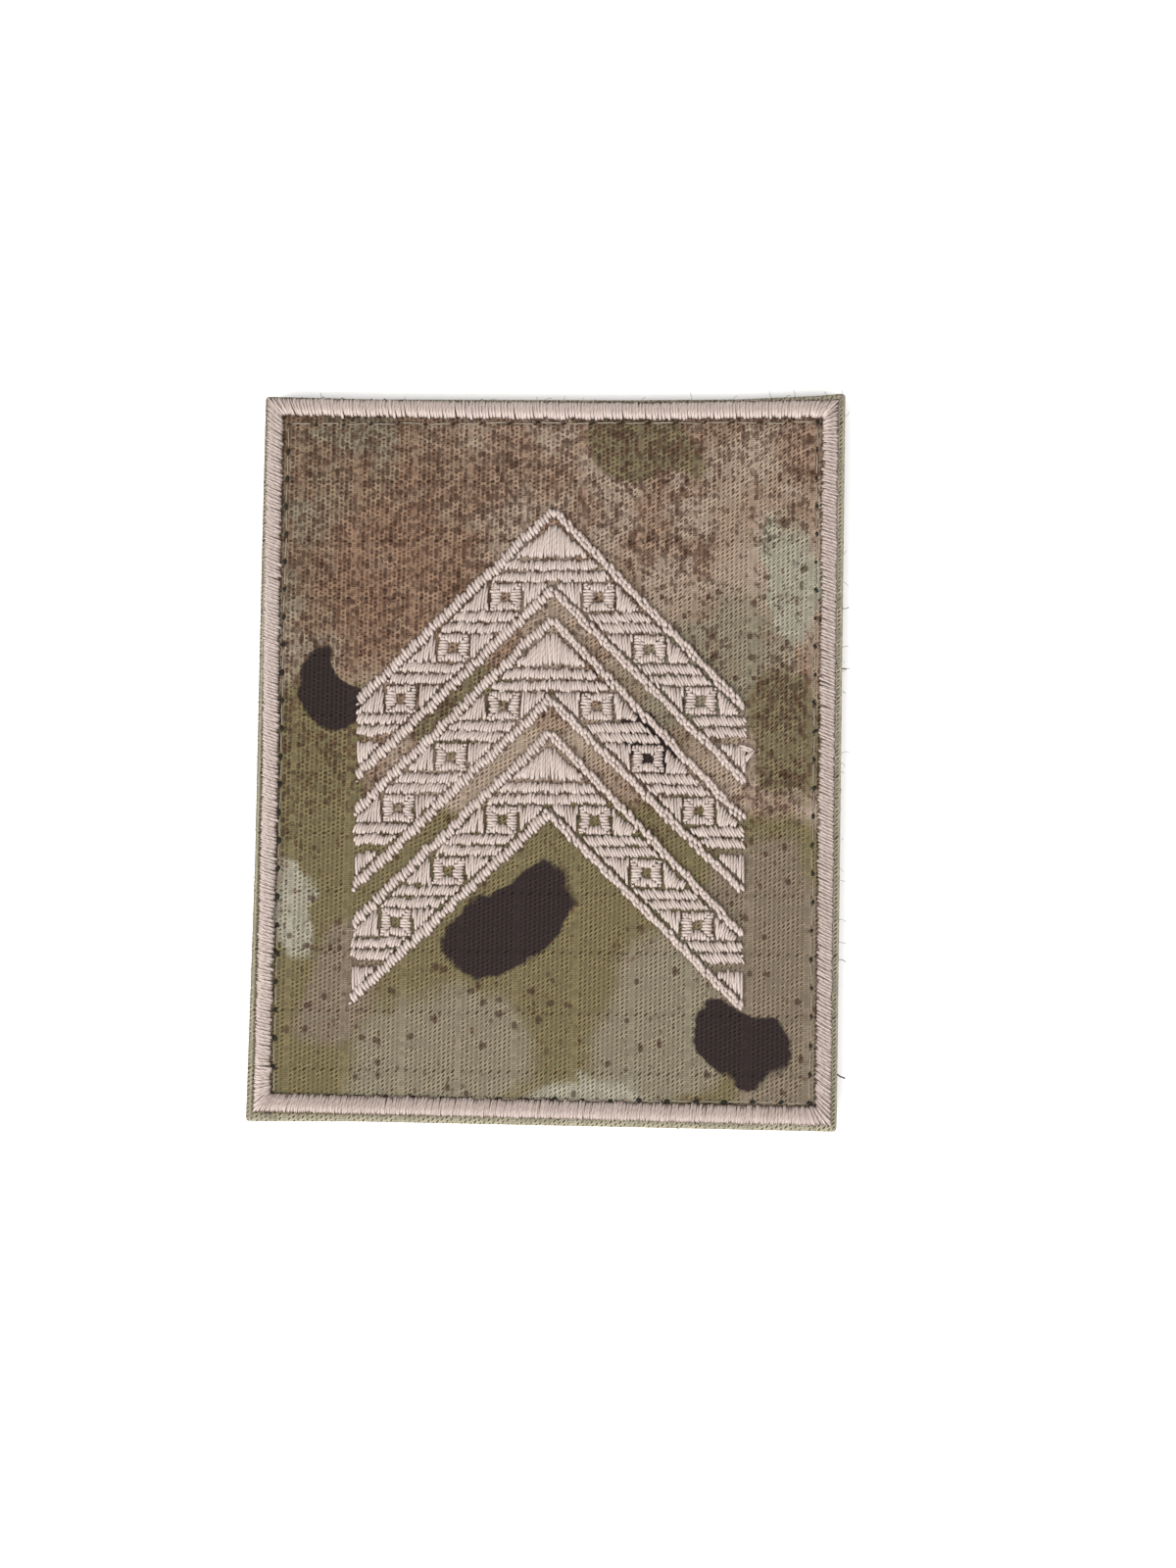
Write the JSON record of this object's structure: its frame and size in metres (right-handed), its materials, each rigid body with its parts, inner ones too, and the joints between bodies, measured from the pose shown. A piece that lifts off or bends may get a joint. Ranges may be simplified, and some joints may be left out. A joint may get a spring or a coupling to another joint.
{
  "type": "rank patch",
  "caption": "Flat rectangular cloth rank patch with a raised satin border, nested chevrons of embroidered lace on mottled woodland-toned printed cloth, and a hook tape back.",
  "frame": {"origin": "middle of the back, on the face of the hook tape that the patch lies on", "axes": "+Z out of the embroidered face, +Y towards the tips of the chevrons, +X to the right seen from the front"},
  "size_m": [0.08, 0.1, 0.0033],
  "materials": {
    "printed_cloth": "matte ripstop weave with a mottled print",
    "embroidery_thread": "satin rayon thread",
    "hook_tape": "woven tape with stiff hooks"
  },
  "bodies": {
    "root": {"hook_backing": "hook_tape", "cloth_panel": "printed_cloth", "border": "embroidery_thread", "chevron_top_edging": "embroidery_thread", "chevron_top_lace": "embroidery_thread", "chevron_middle_edging": "embroidery_thread", "chevron_middle_lace": "embroidery_thread", "chevron_bottom_edging": "embroidery_thread", "chevron_bottom_lace": "embroidery_thread"}
  },
  "joints": []
}
